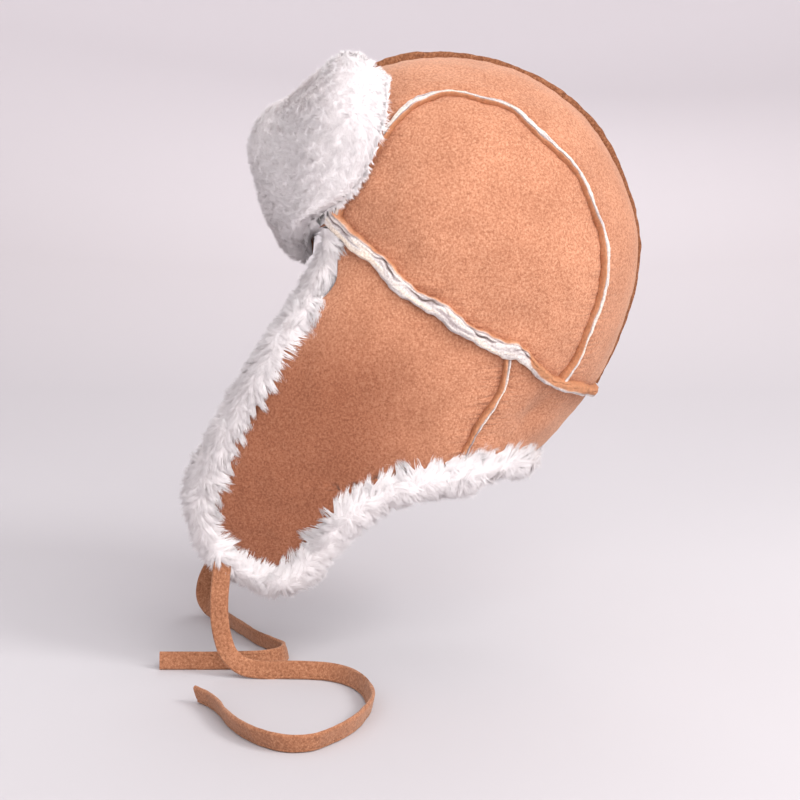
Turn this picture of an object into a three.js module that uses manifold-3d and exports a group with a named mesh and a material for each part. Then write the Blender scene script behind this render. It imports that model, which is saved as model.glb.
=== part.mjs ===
// Shearling bomber hat: a crown of two side panels and two top strips, ear flaps, a neck panel, a turned-up
// front flap, fur edges, raised seams and two leather ties.
// Millimetres, +Z up, the brow towards -Y, the wearer's left towards +X. The origin is where the hat sits on
// the top of the head.
import * as THREE from 'three';
import Module from 'manifold-3d';

// Driving dimensions
const halfLength = 112;
const halfWidth = 95;
const crownRise = 128;
const flapDrop = 190;
const wall = 7;
const seamGap = 0.3;
const baseWeltWidth = 9.5;
const baseWeltHeight = 5.5;
const crownWeltWidth = 4;
const crownWeltHeight = 3.6;
const ridgeWidth = 3;
const ridgeHeight = 3.6;
const furWidth = 25;
const furDepth = 19;
const frontFlapHeight = 100;
const frontFlapDepth = 15;
const tieWidth = 11;
const tieThickness = 2.6;
const floorDrop = 361.7;

// The level of the hat's widest place, where the chart of each side has its pole.
const levelZ = wall - crownRise;
const degree = Math.PI / 180;
// How square the hat is seen from the front.
const squareReach = 2.3;
const squareWidth = 2.1;

// The hat's outline from the side. Bearing runs in degrees from the brow up over the top, down the nape and on
// round the ear flap. Reach is a share of halfLength fore and aft, and of crownRise up or flapDrop down.
const outline = [
  { bearing: -122, reach: 0.797 },
  { bearing: -110, reach: 0.842 },
  { bearing: -100, reach: 0.91 },
  { bearing: -90, reach: 1.02 },
  { bearing: -80, reach: 1.16 },
  { bearing: -70, reach: 1.34 },
  { bearing: -58, reach: 1.62 },
  { bearing: -47, reach: 2.0 },
  { bearing: -35, reach: 2.2 },
  { bearing: -19, reach: 1.5 },
  { bearing: -5, reach: 1.05 },
  { bearing: 10, reach: 0.88 },
  { bearing: 30, reach: 0.95 },
  { bearing: 46, reach: 1.015 },
  { bearing: 60, reach: 1.045 },
  { bearing: 73, reach: 1.03 },
  { bearing: 85, reach: 1.0 },
  { bearing: 98, reach: 0.985 },
  { bearing: 111, reach: 0.983 },
  { bearing: 125, reach: 0.994 },
  { bearing: 140, reach: 1.004 },
  { bearing: 155, reach: 0.997 },
  { bearing: 172, reach: 1.003 },
  { bearing: 183, reach: 0.985 },
  { bearing: 194, reach: 0.958 },
  { bearing: 203, reach: 0.938 },
  { bearing: 214, reach: 0.91 },
  { bearing: 226, reach: 0.845 },
  { bearing: 238, reach: 0.797 },
];

// Seams and edges of the left side as the side view shows them. Fore is a share of halfLength towards the brow,
// and up a share of crownRise above the widest level, or of flapDrop below it.
const baseSeam = [
  { fore: 0.66, up: 0.27 },
  { fore: 0.526, up: 0.145 },
  { fore: 0.401, up: 0.061 },
  { fore: 0.309, up: -0.02 },
  { fore: 0.187, up: -0.09 },
  { fore: 0.065, up: -0.121 },
  { fore: -0.079, up: -0.174 },
  { fore: -0.214, up: -0.241 },
  { fore: -0.304, up: -0.28 },
  { fore: -0.397, up: -0.342 },
  { fore: -0.494, up: -0.4 },
  { fore: -0.605, up: -0.45 },
  { fore: -0.7, up: -0.485 },
  { fore: -0.758, up: -0.503 },
];
const crownSeam = [
  { fore: 0.645, up: 0.235 },
  { fore: 0.61, up: 0.32 },
  { fore: 0.557, up: 0.42 },
  { fore: 0.453, up: 0.57 },
  { fore: 0.315, up: 0.713 },
  { fore: 0.2, up: 0.785 },
  { fore: 0.055, up: 0.822 },
  { fore: -0.116, up: 0.792 },
  { fore: -0.262, up: 0.745 },
  { fore: -0.38, up: 0.657 },
  { fore: -0.503, up: 0.562 },
  { fore: -0.605, up: 0.456 },
  { fore: -0.68, up: 0.32 },
  { fore: -0.747, up: 0.19 },
  { fore: -0.76, up: 0.056 },
  { fore: -0.737, up: -0.1 },
  { fore: -0.684, up: -0.24 },
  { fore: -0.618, up: -0.349 },
  { fore: -0.494, up: -0.44 },
];
const earSeam = [
  { fore: -0.255, up: -0.262 },
  { fore: -0.224, up: -0.354 },
  { fore: -0.173, up: -0.4 },
  { fore: -0.11, up: -0.453 },
  { fore: -0.045, up: -0.518 },
  { fore: 0.0, up: -0.57 },
  { fore: 0.03, up: -0.62 },
];
// The middle of the fur band along the free edge. Wide is the band's share of furWidth.
const furLine = [
  { fore: 0.675, up: 0.125, wide: 0.8 },
  { fore: 0.748, up: -0.029, wide: 0.95 },
  { fore: 0.83, up: -0.172, wide: 1.0 },
  { fore: 0.93, up: -0.287, wide: 1.05 },
  { fore: 1.004, up: -0.393, wide: 1.05 },
  { fore: 1.107, up: -0.506, wide: 1.05 },
  { fore: 1.233, up: -0.662, wide: 1.0 },
  { fore: 1.311, up: -0.787, wide: 1.1 },
  { fore: 1.365, up: -0.902, wide: 1.05 },
  { fore: 1.362, up: -0.988, wide: 0.95 },
  { fore: 1.29, up: -1.067, wide: 0.9 },
  { fore: 1.174, up: -1.112, wide: 0.85 },
  { fore: 1.02, up: -1.128, wide: 0.9 },
  { fore: 0.882, up: -1.09, wide: 0.98 },
  { fore: 0.78, up: -1.007, wide: 1.0 },
  { fore: 0.685, up: -0.919, wide: 1.0 },
  { fore: 0.567, up: -0.817, wide: 1.05 },
  { fore: 0.419, up: -0.73, wide: 1.0 },
  { fore: 0.252, up: -0.66, wide: 1.0 },
  { fore: 0.063, up: -0.624, wide: 1.0 },
  { fore: -0.14, up: -0.615, wide: 0.95 },
  { fore: -0.308, up: -0.64, wide: 0.8 },
  { fore: -0.411, up: -0.69, wide: 0.65 },
];
// Places where seams and edges meet, as row numbers counted from 0, with halves for places between rows.
const earOnBase = 7.5;
const crownOnBase = 10.4;
const earOnFur = 19.25;
const tipFrontRow = 8.5;
const tipBackRow = 13;

// Soft hollows and swellings of the hide. Depth is a share of wall inwards, spread a share of halfWidth.
const dents = [
  { fore: 0.38, up: 0.5, depth: 0.45, spread: 0.2 },
  { fore: -0.2, up: 0.35, depth: -0.5, spread: 0.42 },
  { fore: -0.33, up: -0.2, depth: 0.35, spread: 0.14 },
  { fore: 0.3, up: 0.12, depth: 0.35, spread: 0.14 },
  { fore: -0.4, up: -0.5, depth: 0.6, spread: 0.12 },
  { fore: -0.2, up: -0.42, depth: -0.3, spread: 0.13 },
  { fore: 0.75, up: -0.55, depth: -0.5, spread: 0.35 },
  { fore: 0.35, up: -0.35, depth: -0.3, spread: 0.3 },
];

// The front flap's leather face, from its foot on the crown's front rim. Across runs from the middle to the end,
// and the rest are shares of frontFlapHeight outwards to the side, towards the brow and up.
const frontFlapRows = [
  { across: 0, midSide: 0, midFore: 0.16, midUp: 0.48, tipSide: 0, tipFore: -0.03, tipUp: 0.74 },
  { across: 0.25, midSide: 0.05, midFore: 0.1, midUp: 0.4, tipSide: 0.01, tipFore: -0.09, tipUp: 0.84 },
  { across: 0.5, midSide: 0.12, midFore: -0.02, midUp: 0.36, tipSide: 0.05, tipFore: -0.15, tipUp: 0.94 },
  { across: 0.75, midSide: 0.15, midFore: -0.13, midUp: 0.4, tipSide: 0.04, tipFore: -0.22, tipUp: 1.02 },
  { across: 1, midSide: 0.12, midFore: -0.28, midUp: 0.42, tipSide: -0.02, tipFore: -0.36, tipUp: 1 },
];
// Bearing of the crown's front rim at the middle of the brow.
const browBearing = 10;

// Routes of the ties, from inside the fur of the flap's tip down to the floor, in millimetres. Lean turns the
// strap about its own line, in degrees.
const onEdge = tieWidth / 2 - floorDrop;
const tieRoutes = {
  tie_left: [
    { x: 69, y: -141, z: -292, lean: 0 },
    { x: 70, y: -142, z: -303, lean: 0 },
    { x: 71, y: -143, z: -314, lean: 0 },
    { x: 72, y: -143, z: -326, lean: 0 },
    { x: 74, y: -141, z: -338, lean: 0 },
    { x: 76, y: -137, z: -348, lean: 0 },
    { x: 78, y: -129, z: onEdge + 2, lean: 0 },
    { x: 79, y: -118, z: onEdge, lean: 0 },
    { x: 79, y: -104, z: onEdge, lean: 0 },
    { x: 80, y: -90, z: onEdge, lean: 0 },
    { x: 83, y: -77, z: onEdge, lean: 0 },
    { x: 91, y: -66, z: onEdge, lean: 0 },
    { x: 104, y: -58, z: onEdge, lean: 0 },
    { x: 120, y: -53, z: onEdge, lean: 0 },
    { x: 138, y: -51, z: onEdge, lean: 0 },
    { x: 156, y: -54, z: onEdge, lean: 0 },
    { x: 174, y: -60, z: onEdge, lean: 0 },
    { x: 191, y: -70, z: onEdge, lean: 0 },
    { x: 203, y: -81, z: onEdge, lean: 0 },
    { x: 205, y: -93, z: onEdge, lean: 0 },
    { x: 198, y: -106, z: onEdge, lean: 0 },
    { x: 184, y: -119, z: onEdge, lean: 0 },
    { x: 166, y: -129, z: onEdge, lean: 0 },
    { x: 147, y: -136, z: onEdge, lean: 0 },
    { x: 134, y: -143, z: onEdge, lean: 0 },
    { x: 124, y: -151, z: onEdge, lean: 0 },
  ],
  tie_right: [
    { x: -69, y: -143, z: -292, lean: 0 },
    { x: -69, y: -148, z: -305, lean: 0 },
    { x: -69, y: -155, z: -318, lean: 0 },
    { x: -69, y: -162, z: -330, lean: 0 },
    { x: -69, y: -167, z: -341, lean: 0 },
    { x: -66, y: -168, z: -350, lean: 10 },
    { x: -58, y: -164, z: onEdge + 1, lean: 30 },
    { x: -45, y: -157, z: onEdge, lean: 60 },
    { x: -28, y: -148, z: onEdge, lean: 80 },
    { x: -8, y: -137, z: onEdge, lean: 85 },
    { x: 12, y: -126, z: onEdge, lean: 85 },
    { x: 28, y: -114, z: onEdge, lean: 85 },
    { x: 40, y: -106, z: onEdge, lean: 85 },
    { x: 51, y: -108, z: onEdge, lean: 85 },
    { x: 58, y: -118, z: onEdge, lean: 85 },
    { x: 60, y: -131, z: onEdge, lean: 85 },
    { x: 61, y: -147, z: onEdge, lean: 85 },
    { x: 61, y: -164, z: onEdge, lean: 85 },
    { x: 61, y: -181, z: onEdge, lean: 85 },
  ],
};
const tieStep = 11;

const leather = new THREE.MeshStandardMaterial({ color: 0xb9764b, roughness: 0.92, metalness: 0 });
const darkLeather = new THREE.MeshStandardMaterial({ color: 0x8e5434, roughness: 0.9, metalness: 0 });
const fur = new THREE.MeshStandardMaterial({ color: 0xf1ecea, roughness: 1, metalness: 0 });
const cutEdge = new THREE.MeshStandardMaterial({ color: 0xe6ddd4, roughness: 0.95, metalness: 0 });

const wasm = await Module();
wasm.setup();

// The value of a column at a place along the key column, on a smooth curve through the rows.
function readRow(rows, key, column, at) {
  let next = rows.findIndex((row) => row[key] > at);
  if (next < 0) next = rows.length - 1;
  next = Math.max(next, 1);
  const slope = (i) => {
    const before = rows[Math.max(i - 1, 0)];
    const after = rows[Math.min(i + 1, rows.length - 1)];
    return (after[column] - before[column]) / (after[key] - before[key]);
  };
  const from = rows[next - 1];
  const to = rows[next];
  const span = to[key] - from[key];
  const t = THREE.MathUtils.clamp((at - from[key]) / span, 0, 1);
  const t2 = t * t;
  const t3 = t2 * t;
  return from[column] * (2 * t3 - 3 * t2 + 1) + slope(next - 1) * span * (t3 - 2 * t2 + t)
    + to[column] * (3 * t2 - 2 * t3) + slope(next) * span * (t3 - t2);
}

function outlineReach(angle) {
  const first = outline[0].bearing;
  const bearing = THREE.MathUtils.euclideanModulo(angle / degree - first, 360) + first;
  return readRow(outline, 'bearing', 'reach', bearing);
}

// What a share up or down is a share of: crownRise above the widest level, easing to flapDrop below it.
function riseAt(angle) {
  const down = Math.min(Math.sin(angle), 0);
  return crownRise + (flapDrop - crownRise) * down * down;
}

// Chart of the left side: a disc whose middle is the side pole and whose rim is the centre plane. A place off
// the middle by one quarter turn of tilt is on the rim, and past it on the right side.
function chartOf({ fore, up }) {
  const angle = Math.atan2(up, fore);
  const share = Math.min(Math.hypot(fore, up) / outlineReach(angle), 1);
  const tilt = Math.asin(share ** (squareReach / 2)) / (Math.PI / 2);
  return new THREE.Vector2(Math.cos(angle) * tilt, Math.sin(angle) * tilt);
}

function polar(bearing, tilt) {
  return new THREE.Vector2(Math.cos(bearing * degree) * tilt, Math.sin(bearing * degree) * tilt);
}

// The smooth form without its dents.
function form(at) {
  const angle = Math.atan2(at.y, at.x);
  const turn = at.length() * Math.PI / 2;
  const reach = outlineReach(angle) * Math.abs(Math.sin(turn)) ** (2 / squareReach);
  const across = Math.cos(turn);
  return new THREE.Vector3(
    halfWidth * Math.sign(across) * Math.abs(across) ** (2 / squareWidth),
    -halfLength * reach * Math.cos(angle),
    levelZ + riseAt(angle) * reach * Math.sin(angle),
  );
}

function normalAt(at) {
  const step = 0.01;
  const slopeOf = (x, y) => form(new THREE.Vector2(at.x + x, at.y + y))
    .sub(form(new THREE.Vector2(at.x - x, at.y - y)));
  return slopeOf(step, 0).cross(slopeOf(0, step)).negate().normalize();
}

const dentPlaces = dents.map((dent) => ({ ...dent, place: form(chartOf(dent)) }));

function relief(point) {
  const mirrored = new THREE.Vector3(Math.abs(point.x), point.y, point.z);
  return dentPlaces.reduce((sum, dent) => {
    const away = mirrored.distanceTo(dent.place) / (dent.spread * halfWidth);
    return sum - dent.depth * wall * Math.exp(-away * away);
  }, 0);
}

// A point of the hide at a depth under its leather face.
function skin(at, depth = 0) {
  const point = form(at);
  return point.addScaledVector(normalAt(at), relief(point) - depth);
}

// A repeatable number from -0.5 to 0.5 for a tuft of fur.
function tuft(row, column) {
  const wave = Math.sin(row * 12.9898 + column * 78.233) * 43758.5453;
  return wave - Math.floor(wave) - 0.5;
}

// A smooth curve through a table of rows, read by row number.
function chartCurve(rows) {
  const points = rows.map((row) => new THREE.Vector3(row.fore, row.up, row.wide ?? 1));
  const curve = new THREE.CatmullRomCurve3(points, false, 'centripetal');
  const at = (row) => curve.getPoint(THREE.MathUtils.clamp(row / (rows.length - 1), 0, 1));
  return {
    end: rows.length - 1,
    chart: (row) => chartOf({ fore: at(row).x, up: at(row).y }),
    wide: (row) => at(row).z,
  };
}

const base = chartCurve(baseSeam);
const crown = chartCurve(crownSeam);
const ear = chartCurve(earSeam);
const edge = chartCurve(furLine);

// Bearings on the centre plane: the brow's rim, the base seam at the back and the nape's edge.
const backBearing = Math.atan2(baseSeam.at(-1).up, baseSeam.at(-1).fore) / degree + 360;
const napeBearing = Math.atan2(furLine.at(-1).up, furLine.at(-1).fore) / degree + 360;

function solidOf(vertices, triangles) {
  return new wasm.Manifold(new wasm.Mesh({
    numProp: 3,
    vertProperties: Float32Array.from(vertices),
    triVerts: Uint32Array.from(triangles),
  }));
}

// A closed solid through rings of points. Each end is closed by joining ring points that face each other.
function loft(rings) {
  const size = rings[0].length;
  const vertices = rings.flat().flatMap((point) => point.toArray());
  const triangles = [];
  for (let r = 0; r < rings.length - 1; r += 1) {
    for (let i = 0; i < size; i += 1) {
      const a = r * size + i;
      const b = r * size + (i + 1) % size;
      triangles.push([a, b, b + size], [a, b + size, a + size]);
    }
  }
  const last = (rings.length - 1) * size;
  for (let i = 0; i < size / 2 - 1; i += 1) {
    const facing = size - 1 - i;
    triangles.push([i, facing, facing - 1], [i, facing - 1, i + 1]);
    triangles.push([last + i, last + facing - 1, last + facing], [last + i, last + i + 1, last + facing - 1]);
  }
  const solid = solidOf(vertices, triangles.flat());
  return solid.volume() > 0 ? solid : solidOf(vertices, triangles.flatMap(([a, b, c]) => [a, c, b]));
}

function mirrored(solid) {
  return solid.mirror([1, 0, 0]);
}

function flipped(point) {
  return new THREE.Vector3(-point.x, point.y, point.z);
}

// A piece less what stands in its way, without the offcuts.
function trimmed(solid, ...cutters) {
  const rest = cutters.reduce((left, cutter) => left.subtract(cutter), solid);
  return rest.decompose().reduce((best, piece) => (piece.volume() > best.volume() ? piece : best));
}

// A place inside four edges that meet at their ends. Each edge is read by a share from 0 to 1.
function between({ front, back, top, foot }) {
  return (along, down) => {
    const corner = (x, y) => (x ? back : front)(y).clone().multiplyScalar((x ? along : 1 - along) * (y ? down : 1 - down));
    return top(along).clone().multiplyScalar(1 - down).addScaledVector(foot(along), down)
      .addScaledVector(front(down), 1 - along).addScaledVector(back(down), along)
      .sub(corner(0, 0)).sub(corner(1, 0)).sub(corner(0, 1)).sub(corner(1, 1));
  };
}

// A strip of an edge from one row to another, read by a share.
function stretch(curve, from, to) {
  return (share) => curve.chart(from + (to - from) * share);
}

// Rings of hide over a patch of the chart, each ring being the leather face and the wool face of one station.
function hide(placeAt, alongCount, downCount) {
  const rings = [];
  for (let i = 0; i <= alongCount; i += 1) {
    const places = [];
    for (let j = 0; j <= downCount; j += 1) places.push(placeAt(i / alongCount, j / downCount));
    const outer = places.map((place) => skin(place));
    const inner = places.map((place) => skin(place, wall));
    rings.push([...outer, ...inner.reverse()]);
  }
  return rings;
}

// Stations along a seam: the point on the leather face, its normal and the way across the seam.
function stations(chartAt, from, to, count) {
  const step = 0.02;
  const list = [];
  for (let i = 0; i <= count; i += 1) {
    const row = from + (to - from) * i / count;
    const ahead = skin(chartAt(row + step)).sub(skin(chartAt(row - step)));
    const normal = normalAt(chartAt(row));
    list.push({ row, point: skin(chartAt(row)), normal, side: ahead.cross(normal).normalize() });
  }
  return list;
}

// The stations of a seam that runs round the back, from the left end to the right end.
function roundBack(list) {
  const right = list.map(({ row, point, normal, side }) => ({
    row, point: flipped(point), normal: flipped(normal), side: flipped(side),
  }));
  return [...list, ...right.reverse()];
}

// A raised seam: the edges of both hides come up through the wall and stand proud of it in a wandering line. A
// grown one, which only cuts, has a longer root so that it goes right through the wall.
function welt(list, width, height, grow, wander) {
  const longerRoot = 10;
  const longWave = { size: 0.1, turn: 2.9 };
  const shortWave = { size: 0.07, turn: 6.1 };
  const wanderTurn = 1.9;
  const shoulder = 0.6;
  const crest = 0.5;
  const root = -wall - grow * longerRoot;
  return loft(list.map(({ row, point, normal, side }) => {
    const uneven = longWave.size * Math.sin(row * longWave.turn) + shortWave.size * Math.sin(row * shortWave.turn + 1);
    const half = width / 2 * (1 + uneven) + 1.5 * grow;
    const top = height + grow;
    const shift = wander * Math.sin(row * wanderTurn + 2);
    const section = [
      [-half, root], [half, root], [half, top * shoulder],
      [half * crest, top], [-half * crest, top], [-half, top * shoulder],
    ];
    return section.map(([across, up]) => point.clone()
      .addScaledVector(side, across + shift).addScaledVector(normal, up));
  }));
}

// The fur band: an oval of locks wrapped over the hide's edge.
function furBand(list, grow) {
  const corners = 8;
  const lock = 0.16;
  return loft(list.map(({ row, point, normal, side }, station) => {
    const ring = [];
    for (let i = 0; i < corners; i += 1) {
      const angle = (i + 0.5) / corners * 2 * Math.PI;
      const puff = 1 + lock * tuft(station, i);
      const across = Math.cos(angle) * (furWidth / 2 * edge.wide(row) * puff + 2 * grow);
      const up = Math.sin(angle) * (furDepth / 2 * puff + 2 * grow) - wall / 2;
      ring.push(point.clone().addScaledVector(side, across).addScaledVector(normal, up));
    }
    return ring;
  }));
}

// Seams stop just inside their tables' ends, and those that run round the back just short of the centre plane.
const insideEnd = 0.02;
const shortOfCentre = 0.08;
// How far a raised seam wanders from its line, in millimetres.
const seamWander = 0.8;

function baseWelt(grow) {
  const half = stations(base.chart, insideEnd, base.end - shortOfCentre, 19);
  return welt(roundBack(half), baseWeltWidth, baseWeltHeight, grow, seamWander);
}

function crownWelt(grow) {
  const list = stations(crown.chart, insideEnd, crown.end - insideEnd, 23);
  return welt(list, crownWeltWidth, crownWeltHeight, grow, seamWander);
}

function earWelt(grow) {
  const list = stations(ear.chart, insideEnd, ear.end - insideEnd, 7);
  return welt(list, crownWeltWidth, crownWeltHeight, grow, seamWander / 2);
}

function crownRidge(grow) {
  const pastSeam = 5;
  const at = (bearing) => polar(bearing, 1);
  return welt(stations(at, browBearing, backBearing + pastSeam, 21), ridgeWidth, ridgeHeight, grow, 0);
}

function furEdge(grow) {
  const start = grow > 0 ? insideEnd : 0.12;
  return furBand(stations(edge.chart, start, earOnFur, 40), grow);
}

function neckFurEdge(grow) {
  const underSide = 0.3;
  const half = stations(edge.chart, earOnFur - underSide, edge.end - shortOfCentre, 7);
  return furBand(roundBack(half), grow);
}

// The rim of the crown from the middle of the brow to the front end of the base seam.
function rimAt(share) {
  return polar(browBearing, 1).lerp(base.chart(0), share);
}

const [, secondFlapRow] = frontFlapRows;
const flapRowBefore = { ...secondFlapRow, across: -secondFlapRow.across };
flapRowBefore.midSide *= -1;
flapRowBefore.tipSide *= -1;
const frontFlapTable = [flapRowBefore, ...frontFlapRows];

// A point of the front flap's leather face.
function frontFlapFace(across, up) {
  const seat = 0.5;
  const read = (column) => readRow(frontFlapTable, 'across', column, Math.abs(across)) * frontFlapHeight;
  const mid = new THREE.Vector3(read('midSide'), -read('midFore'), read('midUp'));
  const tip = new THREE.Vector3(read('tipSide'), -read('tipFore'), read('tipUp'));
  const point = skin(rimAt(Math.abs(across)), seat)
    .addScaledVector(mid, 4 * up * (1 - up)).addScaledVector(tip, up * (2 * up - 1));
  return across < 0 ? flipped(point) : point;
}

function frontFlap(grow) {
  const stationCount = 20;
  const rowCount = 6;
  const lock = 0.1;
  const step = 0.01;
  const thinEdge = 0.3;
  const rounding = (share) => Math.sqrt(Math.max(1 - Math.abs(2 * share - 1) ** 5, 0));
  const beyond = grow * 0.05;
  const rings = [];
  for (let i = 0; i <= stationCount; i += 1) {
    const across = (2 * i / stationCount - 1) * (1 + beyond);
    const outer = [];
    const inner = [];
    for (let j = 0; j <= rowCount; j += 1) {
      const up = j / rowCount * (1 + 2 * beyond) - beyond;
      const here = frontFlapFace(across, up);
      const wayAcross = frontFlapFace(across + step, up).sub(frontFlapFace(across - step, up));
      const wayUp = frontFlapFace(across, up + step).sub(frontFlapFace(across, up - step));
      const normal = wayAcross.cross(wayUp).normalize();
      const puff = thinEdge + (1 - thinEdge) * rounding(up) * rounding((across + 1) / 2) + lock * tuft(i, j);
      outer.push(here.clone().addScaledVector(normal, frontFlapDepth * puff + 2 * grow));
      inner.push(here.clone().addScaledVector(normal, -2 * grow));
    }
    rings.push([...outer, ...inner.reverse()]);
  }
  return loft(rings);
}

// A tie: a flat strap whose face turns as little as its route allows.
function tie(route) {
  const curve = new THREE.CatmullRomCurve3(route.map(({ x, y, z }) => new THREE.Vector3(x, y, z)));
  const steps = Math.round(curve.getLength() / tieStep);
  const halfWide = tieWidth / 2;
  const halfThick = tieThickness / 2;
  const rounded = 0.9;
  const section = [
    [-halfWide, -halfThick * 0.5], [-halfWide * rounded, -halfThick], [halfWide * rounded, -halfThick],
    [halfWide, -halfThick * 0.5], [halfWide, halfThick * 0.5], [halfWide * rounded, halfThick],
    [-halfWide * rounded, halfThick], [-halfWide, halfThick * 0.5],
  ];
  const leans = route.map(({ lean }, row) => ({ row, lean }));
  let face = new THREE.Vector3(1, 0, 0);
  const rings = [];
  for (let i = 0; i <= steps; i += 1) {
    const row = curve.getUtoTmapping(i / steps) * (route.length - 1);
    const point = curve.getPointAt(i / steps);
    const along = curve.getTangentAt(i / steps);
    face = face.clone().addScaledVector(along, -face.dot(along)).normalize();
    const out = face.clone().applyAxisAngle(along, readRow(leans, 'row', 'lean', row) * degree);
    const wide = along.clone().cross(out);
    rings.push(section.map(([w, t]) => point.clone().addScaledVector(wide, w).addScaledVector(out, t)));
  }
  return loft(rings);
}

// Solids grown by the seam gap, which cut their neighbours back.
const baseCut = baseWelt(seamGap);
const crownCut = crownWelt(seamGap);
const ridgeCut = crownRidge(seamGap);
const earCut = earWelt(seamGap);
const furCut = furEdge(seamGap);
const neckFurCut = neckFurEdge(seamGap);
const flapCut = frontFlap(seamGap).add(frontFlap(0));

function sidePanel() {
  const inFront = { crown: 0.8, base: 0.7 };
  const behind = { crown: 0.6, base: 0.2 };
  const top = stretch(crown, inFront.crown, crown.end - behind.crown);
  const foot = stretch(base, inFront.base, crownOnBase - behind.base);
  const front = (down) => top(0).clone().lerp(foot(0), down);
  const back = (down) => top(1).clone().lerp(foot(1), down);
  return loft(hide(between({ front, back, top, foot }), 15, 6));
}

function topStrip() {
  const pastSeam = 4;
  const atCentre = 0.999;
  const centre = (share) => polar(browBearing + (backBearing + pastSeam - browBearing) * share, atCentre);
  const seam = stretch(crown, 0, crown.end);
  return loft(hide((along, down) => centre(along).clone().lerp(seam(along), down), 19, 3));
}

function earFlap() {
  const seamShare = 0.38;
  const seam = stretch(ear, 0, ear.end - 1);
  const lower = stretch(edge, earOnFur, tipBackRow);
  const edges = {
    top: stretch(base, 0.1, earOnBase),
    foot: stretch(edge, tipFrontRow, tipBackRow),
    front: stretch(edge, 0, tipFrontRow),
    back: (down) => (down < seamShare ? seam(down / seamShare) : lower((down - seamShare) / (1 - seamShare))),
  };
  return loft(hide(between(edges), 8, 12));
}

function neckPanel() {
  const edges = {
    top: stretch(base, earOnBase, base.end),
    foot: stretch(edge, earOnFur, edge.end),
    front: stretch(ear, 0, ear.end - 1),
    back: (down) => polar(backBearing + (napeBearing - backBearing) * down, 1),
  };
  const left = hide(between(edges), 7, 4);
  const right = left.slice(0, -1).map((ring) => ring.map(flipped)).reverse();
  return trimmed(
    loft([...left, ...right]),
    baseCut, earCut, mirrored(earCut), neckFurCut, furCut, mirrored(furCut),
  );
}

function meshOf(name, solid, material) {
  const { numProp, vertProperties, triVerts } = solid.getMesh();
  const positions = Array.from({ length: vertProperties.length / numProp * 3 }, (_, i) => (
    vertProperties[Math.floor(i / 3) * numProp + i % 3]
  ));
  const geometry = new THREE.BufferGeometry();
  geometry.setAttribute('position', new THREE.Float32BufferAttribute(positions, 3));
  geometry.setIndex([...triVerts]);
  geometry.computeVertexNormals();
  const mesh = new THREE.Mesh(geometry, material);
  mesh.name = name;
  return mesh;
}

// Pieces of the left side, which the right side repeats. Each is cut back by its own side's neighbours, and by
// those that cross the middle.
const paired = {
  crown_side: { solid: sidePanel(), own: [crownCut, furCut], shared: [baseCut, flapCut], material: leather },
  crown_top: { solid: topStrip(), own: [crownCut], shared: [ridgeCut, baseCut, flapCut], material: leather },
  crown_welt: { solid: crownWelt(0), own: [], shared: [baseCut, flapCut], material: cutEdge },
  ear_flap: { solid: earFlap(), own: [earCut, furCut], shared: [baseCut, neckFurCut, flapCut], material: leather },
  ear_welt: { solid: earWelt(0), own: [furCut], shared: [baseCut, neckFurCut], material: cutEdge },
  fur_edge: { solid: furEdge(0), own: [], shared: [flapCut], material: fur },
};
// Pieces that cross the middle.
const single = {
  crown_ridge: [trimmed(crownRidge(0), baseCut, flapCut), darkLeather],
  base_welt: [trimmed(baseWelt(0), flapCut, furCut, mirrored(furCut)), cutEdge],
  neck_panel: [neckPanel(), leather],
  fur_edge_neck: [trimmed(neckFurEdge(0), furCut, mirrored(furCut)), fur],
  front_flap: [frontFlap(0), fur],
  tie_left: [trimmed(tie(tieRoutes.tie_left), furCut), leather],
  tie_right: [trimmed(tie(tieRoutes.tie_right), mirrored(furCut)), leather],
};

const hat = new THREE.Group();
for (const [name, { solid, own, shared, material }] of Object.entries(paired)) {
  hat.add(meshOf(`${name}_left`, trimmed(solid, ...own, ...shared), material));
  hat.add(meshOf(`${name}_right`, trimmed(mirrored(solid), ...own.map(mirrored), ...shared), material));
}
for (const [name, [solid, material]] of Object.entries(single)) hat.add(meshOf(name, solid, material));

export default hat;
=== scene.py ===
"""Looks of the sheepskin bomber hat: napped hide, clipped wool, raised seams and flat leather ties.

Metres, +Z up, the brow towards -Y, the wearer's left towards +X. The form and the seams repeat those of the
solids, so that every piece lies where its solid is.
"""

import math

import bpy
import numpy as np
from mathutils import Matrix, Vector, kdtree


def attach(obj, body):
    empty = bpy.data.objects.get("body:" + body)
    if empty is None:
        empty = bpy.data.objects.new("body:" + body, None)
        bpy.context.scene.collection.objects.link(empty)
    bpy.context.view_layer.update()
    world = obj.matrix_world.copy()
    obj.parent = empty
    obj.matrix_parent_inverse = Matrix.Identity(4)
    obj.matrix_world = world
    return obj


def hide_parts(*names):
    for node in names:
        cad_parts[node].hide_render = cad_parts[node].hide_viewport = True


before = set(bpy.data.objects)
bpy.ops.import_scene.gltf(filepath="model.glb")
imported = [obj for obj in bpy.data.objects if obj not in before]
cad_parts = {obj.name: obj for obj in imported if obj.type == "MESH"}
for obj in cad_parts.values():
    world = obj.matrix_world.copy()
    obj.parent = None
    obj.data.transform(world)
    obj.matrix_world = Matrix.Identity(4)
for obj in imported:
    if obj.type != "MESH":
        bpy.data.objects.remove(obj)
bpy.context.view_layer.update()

# Driving dimensions
HALF_LENGTH = 0.112
HALF_WIDTH = 0.095
CROWN_RISE = 0.128
FLAP_DROP = 0.190
WALL = 0.007
BASE_WELT_WIDTH = 0.0095
BASE_WELT_HEIGHT = 0.0055
CROWN_WELT_WIDTH = 0.0040
CROWN_WELT_HEIGHT = 0.0036
RIDGE_WIDTH = 0.0030
RIDGE_HEIGHT = 0.0036
FUR_WIDTH = 0.025
FUR_DEPTH = 0.019
FLAP_HEIGHT = 0.100
FLAP_DEPTH = 0.015
TIE_WIDTH = 0.011
TIE_THICKNESS = 0.0026
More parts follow.
